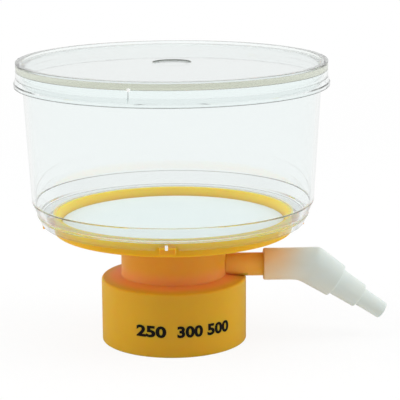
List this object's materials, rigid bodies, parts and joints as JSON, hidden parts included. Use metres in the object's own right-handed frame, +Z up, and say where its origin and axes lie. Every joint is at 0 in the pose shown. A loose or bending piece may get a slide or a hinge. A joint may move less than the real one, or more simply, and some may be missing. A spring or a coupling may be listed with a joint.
{
  "type": "vacuum filtration unit",
  "caption": "Bottle-top vacuum filter: clear lidded funnel over a white membrane on a yellow threaded base, with a side arm and a swivelling hose elbow.",
  "frame": {"origin": "centre of the threaded collar's mouth, where the unit meets the bottle's shoulder end and stands on a bench", "axes": "+Z up along the collar, neck and funnel; +X along the side arm, towards the hose elbow"},
  "size_m": [0.1366, 0.1142, 0.1041],
  "materials": {
    "yellow_plastic": "translucent warm yellow moulded plastic, satin",
    "silicone": "pale matt silicone",
    "membrane_white": "matt white polymer membrane",
    "clear_plastic": "clear moulded polystyrene, glossy",
    "translucent_plastic": "natural translucent polypropylene, satin"
  },
  "bodies": {
    "filter": {"filter_base": "yellow_plastic", "neck_gasket": "silicone", "membrane": "membrane_white", "funnel_cup": "clear_plastic", "lid": "clear_plastic"},
    "elbow": {"hose_elbow": "translucent_plastic"}
  },
  "joints": [
    {"name": "elbow_swivel", "type": "hinge", "parent": "filter", "child": "elbow", "pos_m": [0.0387, 0, 0.0275], "axis": [1, 0, 0], "continuous": true}
  ]
}
